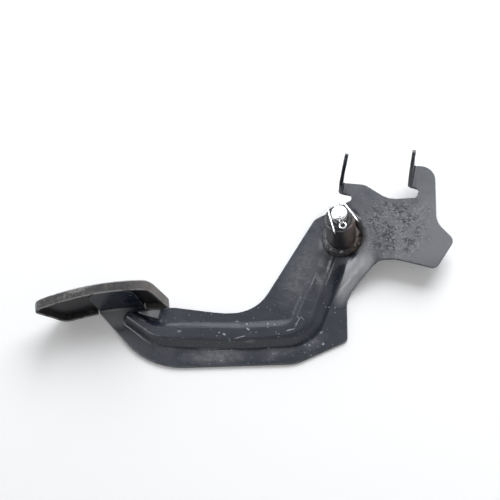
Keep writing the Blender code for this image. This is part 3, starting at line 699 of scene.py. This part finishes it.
def arm_scuffs_and_sheen(tree, place, wear, neck_sheen):
    """The rubs, chips, grit and scratches on the arm, with part of the painted reflection on the flange
    left of the tongue.
    """
    rubs = times(tree, add_marks(tree, place, RUBS, 0.5, 600.0, 0.4),
                 ramp(tree, noise_at(tree, place, 1500.0, 3.0), 0.30, 0.50))
    grit = times(tree, use_group(tree, "specks", place, scale=560.0, size=0.30, cover=0.30), wear.grit)
    chips = use_group(tree, "specks", place, scale=230.0, size=0.20, cover=0.14)
    lines = times(tree, use_group(tree, "scratches", place, scale=420.0, turn=0.15, cover=0.4),
                  wear.scratches)
    share = plus(tree, times(tree, use_group(tree, "spot", place, **GRITTY_PART), 0.8), 0.2)
    small = times(tree, highest(tree, grit, chips, lines), share)
    marks = math_node(tree, "MINIMUM", highest(tree, small, rubs), 1.0)
    # Part of the painted reflection on the flange left of the tongue, in the scuff colour
    return highest(tree, marks, times(tree, neck_sheen, 0.35))


def make_arm_paint(colours, wear):
    """Glossy black paint over pressed sheet, with dust, grit, rubs, worn edges, a pitted tail and painted
    sheen on the ramp and beside the tongue.
    """
    material, tree, shader, place = new_material("arm_paint")
    _, y, z = directions(tree, place)
    tail = tail_marks(tree, place)
    # The neck's two patches are painted reflections beside the tongue
    neck = neck_sheen_patches(tree, place)
    pits = tail[1]
    bright, neck_sheen = neck
    dust_and_sheen = arm_dust_and_sheen(tree, place, wear, tail, neck)
    marks = arm_scuffs_and_sheen(tree, place, wear, neck_sheen)
    worn = use_group(tree, "edge_wear", place, edge=attribute_value(tree, "edge"), scale=260.0,
                     amount=wear.edges)

    # The dust colour here covers real dust and the painted sheen on the ramp and beside the tongue
    colour = mix_colour(tree, dust_and_sheen, colours.paint, colours.dust)
    colour = mix_colour(tree, marks, colour, colours.scuff)
    join(tree, mix_colour(tree, worn, colour, colours.scuff), shader.inputs["Base Color"])

    pale_share = math_node(tree, "MULTIPLY", dust_and_sheen, 3.0, clamp=True)
    step = minus(tree, ramp(tree, z, *STEP_FOOT), ramp(tree, z, *STEP_TOP))
    step = times(tree, step, attribute_value(tree, "outer_wall"))
    rough = mix_value(tree, step, mix_value(tree, pale_share, 0.27, 0.48), 0.58)
    rough = mix_value(tree, pits, rough, 0.70)
    join(tree, mix_value(tree, marks, rough, 0.6), shader.inputs["Roughness"])

    height = plus(tree, times(tree, noise_at(tree, place, 40.0, 2.0), 0.9),
                  times(tree, noise_at(tree, place, 900.0, 2.0), 0.01))
    height = minus(tree, height, times(tree, pits, wear.pit_depth))
    start, slope = NECK_HOLLOW
    hollow = times(tree, minus(tree, y, start), slope)
    bump(tree, shader, plus(tree, height, times(tree, bright, hollow)), 0.0005)
    shader.inputs["Specular IOR Level"].default_value = 0.6
    return material


def make_tube_paint(colours):
    """Thin black paint on the pivot tube, with brown rust showing on its right side."""
    material, tree, shader, place = new_material("tube_paint")
    side = ramp(tree, directions(tree, place)[0], *TUBE_RUSTY_SIDE)
    rust = times(tree, side, ramp(tree, noise_at(tree, place, 160.0, 5.0), 0.38, 0.54))
    freckles = times(tree, ramp(tree, noise_at(tree, place, 330.0, 4.0), 0.58, 0.72), 0.35)
    rust = highest(tree, rust, freckles)
    film = times(tree, use_group(tree, "dust_film", place, scale=110.0, cover=0.4), 0.08)
    worn = use_group(tree, "edge_wear", place, edge=attribute_value(tree, "edge"), scale=400.0, amount=0.6)
    colour = mix_colour(tree, rust, colours.tube, colours.rust)
    colour = mix_colour(tree, film, colour, colours.dust)
    join(tree, mix_colour(tree, worn, colour, colours.scuff), shader.inputs["Base Color"])
    join(tree, mix_value(tree, rust, 0.30, 0.65), shader.inputs["Roughness"])
    height = plus(tree, times(tree, noise_at(tree, place, 700.0), rust),
                  times(tree, noise_at(tree, place, 200.0, 2.0), 0.5))
    bump(tree, shader, height, 0.00012)
    return material


def make_weld_paint(colours):
    """Painted weld with spatter: rough, pale on the left and brown on the right; the pale is grey bits with
    a painted highlight on the lumps.
    """
    material, tree, shader, place = new_material("weld_paint")
    x = directions(tree, place)[0]
    grain = noise_at(tree, place, 420.0, 5.0, 0.65)
    rust = times(tree, ramp(tree, x, *WELD_RUSTY_SIDE), ramp(tree, grain, 0.40, 0.60))
    # Pale grey on the left: grey bits and a painted highlight on the weld's lumps
    clouds = ramp(tree, noise_at(tree, place, 700.0), 0.44, 0.62)
    pale = times(tree, ramp(tree, x, *WELD_PALE_SIDE), clouds)
    colour = mix_colour(tree, rust, colours.tube, colours.rust)
    join(tree, mix_colour(tree, times(tree, pale, 0.6), colour, colours.dust), shader.inputs["Base Color"])
    join(tree, mix_value(tree, rust, 0.44, 0.65), shader.inputs["Roughness"])
    bump(tree, shader, grain, 0.0006)
    return material


def make_zinc(colours):
    """Bright zinc plate with fine grain and dull spots."""
    material, tree, shader, place = new_material("zinc_plate")
    spots = ramp(tree, noise_at(tree, place, 500.0, 4.0), 0.5, 0.7)
    join(tree, mix_colour(tree, times(tree, spots, 0.12), colours.zinc, colours.dull_zinc),
         shader.inputs["Base Color"])
    shader.inputs["Metallic"].default_value = 0.9
    join(tree, mix_value(tree, spots, 0.24, 0.42), shader.inputs["Roughness"])
    bump(tree, shader, noise_at(tree, place, 1400.0, 2.0), 0.00003)
    return material


def make_nylon(colours):
    """Dark nylon, polished by wear and greasy."""
    material, tree, shader, place = new_material("bush_nylon")
    greasy = ramp(tree, noise_at(tree, place, 300.0), 0.4, 0.65)
    join(tree, mix_colour(tree, times(tree, greasy, 0.5), colours.nylon, colours.grease),
         shader.inputs["Base Color"])
    join(tree, mix_value(tree, greasy, 0.32, 0.55), shader.inputs["Roughness"])
    bump(tree, shader, noise_at(tree, place, 900.0), 0.00006)
    return material


def make_pad_rubber(colours):
    """Moulded rubber: fine grain, brownish dust, grey rubs along its sides and a paler right end."""
    material, tree, shader, place = new_material("pad_rubber")
    x, _, z = directions(tree, place)
    film = use_group(tree, "dust_film", place, scale=95.0, cover=0.62)
    rubs = use_group(tree, "scratches", place, scale=300.0, turn=-0.15, cover=0.6)
    grit = use_group(tree, "specks", place, scale=520.0, size=0.3, cover=0.3)
    scuffs = times(tree, use_group(tree, "spot", place, **PAD_SCUFF), ramp(tree, z, *PAD_SCUFF_HEIGHT))
    mottle = ramp(tree, noise_at(tree, place, 420.0, 4.0, 0.7), 0.40, 0.60)
    worn = use_group(tree, "edge_wear", place, edge=attribute_value(tree, "edge"), scale=200.0, amount=1.0)
    pale_share = times(tree, mix_value(tree, film, 0.12, 0.50), mix_value(tree, mottle, 0.10, 1.75))
    right_end = times(tree, ramp(tree, x, *PAD_RIGHT_END), 0.75)
    pale_share = math_node(tree, "ADD", pale_share, right_end, clamp=True)
    marks = highest(tree, times(tree, highest(tree, rubs, grit), 0.22), times(tree, scuffs, 0.5))
    colour = mix_colour(tree, pale_share, colours.rubber, colours.rubber_dust)
    colour = mix_colour(tree, marks, colour, colours.rubber_rub)
    join(tree, mix_colour(tree, worn, colour, colours.rubber_edge), shader.inputs["Base Color"])
    join(tree, mix_value(tree, film, 0.48, 0.68), shader.inputs["Roughness"])
    shader.inputs["Specular IOR Level"].default_value = 0.25
    height = plus(tree, noise_at(tree, place, 1100.0, 3.0),
                  times(tree, noise_at(tree, place, 160.0, 3.0), 1.2))
    bump(tree, shader, height, 0.00014)
    return material


# Pieces

def make_arm(sizes):
    """The pressing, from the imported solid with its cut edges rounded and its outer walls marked."""
    bm = merged_copy("pedal_arm")
    round_edges(bm, SHARP_ARM, sizes.edge_round)
    outer_layer = bm.faces.layers.float.new("outer_wall")
    for face in bm.faces:
        face[outer_layer] = 1.0 if face.normal.x - face.normal.y > OUTWARD else 0.0
    return flat_piece("arm_pressing", bm, "pedal", "black_paint", "pedal_arm")


def make_tube(sizes):
    """The welded pivot tube with a counterbore at each end."""
    low_pocket = BOSS_LOW + sizes.pocket_depth
    high_pocket = BOSS_HIGH - sizes.pocket_depth
    pocket, outside, bore = sizes.pocket_radius, sizes.tube_radius, sizes.tube_bore
    profile = [(pocket, BOSS_HIGH), (outside, BOSS_HIGH), (outside, BOSS_LOW), (pocket, BOSS_LOW),
               (pocket, low_pocket), (bore, low_pocket), (bore, high_pocket), (pocket, high_pocket)]
    bm = spin_profile(profile, TUBE_STEPS)
    round_edges(bm, SHARP_RIM, sizes.tube_round, 3)
    return flat_piece("pivot_tube", bm, "pedal", "boss_paint", "pivot_boss")


def weld_lump(place, size):
    """Height of the weld's lumps at a place, in three sizes of lump."""
    return size * sum(weight * noise.noise(place * scale) for scale, weight in WELD_LUMPS)


def make_weld(sizes):
    """The lumpy fillet of weld between the tube and the pressing."""
    foot, width, height = sizes.weld_foot, sizes.weld_width, sizes.weld_height
    inner = sizes.tube_radius - WELD_SINK
    profile = [(inner, foot + height)]
    for point in range(WELD_POINTS):
        angle = math.radians(WELD_FIRST + WELD_TURN * point)
        profile.append((sizes.tube_radius + width * WELD_BULGE * math.sin(angle),
                        foot + height * WELD_BULGE * math.cos(angle)))
    profile += [(sizes.tube_radius + width, foot), (inner, foot)]
    bm = spin_profile(profile, WELD_STEPS)
    for v in bm.verts:
        radius = math.hypot(v.co.x, v.co.y)
        share = min(max((radius - sizes.tube_radius) / width, 0.0), 1.0)
        if share > WELD_WALL and v.co.z > foot + WELD_REST:
            lump = weld_lump(v.co, sizes.weld_lump) * math.sin(math.pi * share)
            way = Vector((v.co.x / radius, v.co.y / radius, 1.0)).normalized()
            v.co += way * lump
    bmesh.ops.recalc_face_normals(bm, faces=bm.faces)
    return piece("weld_fillet", bm, "pedal", "boss_paint")


def make_bush(sizes, node, outer, inner):
    """A flanged bush, turned from its outer face to its inner end, both given as heights."""
    bore, sleeve, rim = sizes.bush_bore, sizes.bush_sleeve, sizes.bush_flange_radius
    flange = outer + math.copysign(sizes.bush_flange, inner - outer)
    profile = [(bore, outer), (rim, outer), (rim, flange), (sleeve, flange), (sleeve, inner), (bore, inner)]
    bm = spin_profile(profile, SMALL_STEPS)
    round_edges(bm, SHARP_RIM, sizes.bush_round, 3)
    return flat_piece(f"{node}_turned", bm, "pedal", "dark_nylon", node)


def make_pin(sizes):
    """The headed pin, with the cross hole cut through its free end."""
    chamfer, radius, head = sizes.pin_chamfer, sizes.pin_radius, sizes.pin_head_radius
    shoulder = PIN_LOW + sizes.pin_head
    profile = [(0.0, PIN_HIGH), (radius - chamfer, PIN_HIGH), (radius, PIN_HIGH - chamfer),
               (radius, shoulder), (head - chamfer, shoulder), (head, shoulder - chamfer),
               (head, PIN_LOW + chamfer), (head - chamfer, PIN_LOW), (0.0, PIN_LOW)]
    bm = spin_profile(profile, SMALL_STEPS)
    round_edges(bm, SHARP_PIN, sizes.pin_round)
    turn = Matrix.Rotation(sizes.split_angle, 4, "Z") @ Matrix.Rotation(math.pi / 2, 4, "Y")
    lift = Matrix.Translation((0.0, 0.0, PIN_HIGH - sizes.split_drop))
    bm = drilled(bm, sizes.cross_hole, radius * 4.0, lift @ turn)
    return flat_piece("turned_pin", bm, "pin", "zinc_plate", "pivot_pin")


def make_split_pin():
    """The split pin's wire, smoothed round."""
    obj = piece("split_pin_wire", merged_copy("split_pin"), "pin", "zinc_plate", "split_pin")
    smooth = obj.modifiers.new("round", "SUBSURF")
    smooth.levels = 1
    smooth.render_levels = 1
    return obj


def make_pad(sizes):
    """The rubber pad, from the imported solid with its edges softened."""
    bm = merged_copy("pad_cover")
    round_edges(bm, SHARP_PAD, sizes.pad_round)
    return flat_piece("pad_rubber_cover", bm, "pedal", "black_rubber", "pad_cover")


# Stage

def softbox(name, brightness):
    """An area light that looks equally bright from anywhere in front of it, whatever its size."""
    place, target, (width, height), colour = PANELS[name]
    lamp = bpy.data.lights.new(name, "AREA")
    lamp.shape = "RECTANGLE"
    lamp.size = width
    lamp.size_y = height
    lamp.energy = brightness * math.pi * width * height
    lamp.color = colour
    obj = bpy.data.objects.new(name, lamp)
    bpy.context.scene.collection.objects.link(obj)
    way = Vector(target) - Vector(place)
    obj.matrix_world = Matrix.Translation(place) @ way.to_track_quat("-Z", "Y").to_matrix().to_4x4()
    return obj


def seen_in_gloss(path):
    """1 for what is seen in a mirror or through glass."""
    return highest(path.id_data, path.outputs["Is Glossy Ray"], path.outputs["Is Transmission Ray"])


def make_table(settings):
    """The white table, lifted to white where it is seen and not where it lights the pedal."""
    bm = bmesh.new()
    bmesh.ops.create_grid(bm, x_segments=1, y_segments=1, size=TABLE_HALF)
    table = new_object("table", bm)
    material, tree, shader, _ = new_material("table_white")
    shader.inputs["Base Color"].default_value = (TABLE_GREY, TABLE_GREY, TABLE_GREY, 1.0)
    shader.inputs["Roughness"].default_value = 0.9
    shader.inputs["Specular IOR Level"].default_value = 0.1
    shader.inputs["Emission Color"].default_value = (1.0, 1.0, 1.0, 1.0)
    path = tree.nodes.new("ShaderNodeLightPath")
    seen = highest(tree, path.outputs["Is Camera Ray"], seen_in_gloss(path))
    join(tree, times(tree, seen, settings.floor_lift), shader.inputs["Emission Strength"])
    table.data.materials.append(material)


def make_room(scene, settings):
    """White surroundings: even light, with a pale horizon and a darker ceiling in the gloss."""
    scene.world = bpy.data.worlds.new("white_room")
    scene.world.use_nodes = True
    tree = scene.world.node_tree
    background = tree.nodes["Background"]
    background.inputs["Color"].default_value = (1.0, 1.0, 1.0, 1.0)
    path = tree.nodes.new("ShaderNodeLightPath")
    height = directions(tree, tree.nodes.new("ShaderNodeTexCoord").outputs["Generated"])[2]
    climb = ramp(tree, height, LOW_SKY, HIGH_SKY)
    surroundings = mix_value(tree, climb, settings.horizon, settings.ceiling)
    strength = mix_value(tree, seen_in_gloss(path), settings.room, surroundings)
    strength = mix_value(tree, path.outputs["Is Camera Ray"], strength, 1.0)
    join(tree, strength, background.inputs["Strength"])


def make_lights(settings):
    """The large key light, the panel behind and two reflectors that show only in gloss."""
    softbox("key_softbox", settings.key)
    softbox("back_panel", settings.back)
    left = softbox("left_reflector", settings.left)
    upper_left = softbox("upper_left_reflector", settings.left * UPPER_LEFT_SHARE)
    for reflector in (left, upper_left):
        reflector.visible_diffuse = False


def make_camera(scene):
    """The camera where the photograph was taken from."""
    camera = bpy.data.cameras.new("photo_camera")
    camera.sensor_width = CAMERA_SENSOR
    camera.lens = CAMERA_LENS
    obj = bpy.data.objects.new("photo_camera", camera)
    scene.collection.objects.link(obj)
    turn = Matrix((CAMERA_RIGHT, CAMERA_UP, CAMERA_BACK)).transposed()
    obj.matrix_world = Matrix.Translation(CAMERA_PLACE) @ turn.to_4x4()
    scene.camera = obj


# Operators

class PEDAL_OT_effects(Operator):
    """Make the dust, specks, scratches, worn edges and spots that the materials share"""
    bl_idname = "pedal.effects"
    bl_label = "Shared effects"

    def execute(self, context):
        make_dust_group()
        make_speck_group()
        make_scratch_group()
        make_wear_group()
        make_spot_group()
        return {"FINISHED"}


class PEDAL_OT_stage(Operator):
    """Set up the white table, the soft lights and the camera"""
    bl_idname = "pedal.stage"
    bl_label = "Table, lights and camera"

    def execute(self, context):
        scene = context.scene
        make_table(scene.pedal_stage)
        make_room(scene, scene.pedal_stage)
        make_lights(scene.pedal_stage)
        make_camera(scene)
        scene.view_settings.view_transform = "Standard"
        return {"FINISHED"}


class PEDAL_OT_arm(Operator):
    """Refine and paint the stamped arm"""
    bl_idname = "pedal.arm"
    bl_label = "Stamped arm"

    def execute(self, context):
        scene = context.scene
        paint = make_arm_paint(scene.pedal_colours, scene.pedal_wear)
        make_arm(scene.pedal_sizes).data.materials.append(paint)
        return {"FINISHED"}


class PEDAL_OT_pivot(Operator):
    """Turn the pivot tube, its weld and its two bushes"""
    bl_idname = "pedal.pivot"
    bl_label = "Pivot tube and bushes"

    def execute(self, context):
        sizes, colours = context.scene.pedal_sizes, context.scene.pedal_colours
        make_tube(sizes).data.materials.append(make_tube_paint(colours))
        make_weld(sizes).data.materials.append(make_weld_paint(colours))
        nylon = make_nylon(colours)
        make_bush(sizes, "upper_bush", UPPER_HIGH, UPPER_LOW).data.materials.append(nylon)
        make_bush(sizes, "lower_bush", LOWER_LOW, LOWER_HIGH).data.materials.append(nylon)
        return {"FINISHED"}


class PEDAL_OT_pins(Operator):
    """Turn the pivot pin and smooth the split pin"""
    bl_idname = "pedal.pins"
    bl_label = "Pivot pin and split pin"

    def execute(self, context):
        zinc = make_zinc(context.scene.pedal_colours)
        make_pin(context.scene.pedal_sizes).data.materials.append(zinc)
        make_split_pin().data.materials.append(zinc)
        return {"FINISHED"}


class PEDAL_OT_foot_pad(Operator):
    """Refine and paint the rubber foot pad, and paint the plate behind it"""
    bl_idname = "pedal.foot_pad"
    bl_label = "Foot pad"

    def execute(self, context):
        scene = context.scene
        make_pad(scene.pedal_sizes).data.materials.append(make_pad_rubber(scene.pedal_colours))
        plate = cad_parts["pad_plate"]
        plate.data.materials.clear()
        plate.data.materials.append(make_tube_paint(scene.pedal_colours))
        return {"FINISHED"}


class PEDAL_PT_sidebar(Panel):
    """Lists the steps that finish the pedal, and their settings"""
    bl_idname = "PEDAL_PT_sidebar"
    bl_label = "Accelerator pedal"
    bl_space_type = "VIEW_3D"
    bl_region_type = "UI"
    bl_category = "Pedal"

    def draw(self, context):
        column = self.layout.column(align=True)
        for step in STEPS:
            column.operator(step.bl_idname)
        for label in SETTINGS:
            group = getattr(context.scene, label)
            box = self.layout.box()
            for name in group.__annotations__:
                box.prop(group, name)


SETTINGS = {"pedal_sizes": PedalSizes, "pedal_colours": PedalColours, "pedal_wear": PedalWear,
            "pedal_stage": StageSettings}
STEPS = (PEDAL_OT_effects, PEDAL_OT_stage, PEDAL_OT_arm, PEDAL_OT_pivot, PEDAL_OT_pins, PEDAL_OT_foot_pad)
CLASSES = (*SETTINGS.values(), *STEPS, PEDAL_PT_sidebar)


def register():
    for cls in CLASSES:
        bpy.utils.register_class(cls)
    for label, group in SETTINGS.items():
        setattr(bpy.types.Scene, label, PointerProperty(type=group))


def unregister():
    for label in SETTINGS:
        delattr(bpy.types.Scene, label)
    for cls in reversed(CLASSES):
        bpy.utils.unregister_class(cls)


def main():
    register()
    bpy.ops.pedal.effects()
    bpy.ops.pedal.stage()
    bpy.ops.pedal.arm()
    bpy.ops.pedal.pivot()
    bpy.ops.pedal.pins()
    bpy.ops.pedal.foot_pad()


if __name__ == "__main__":
    main()
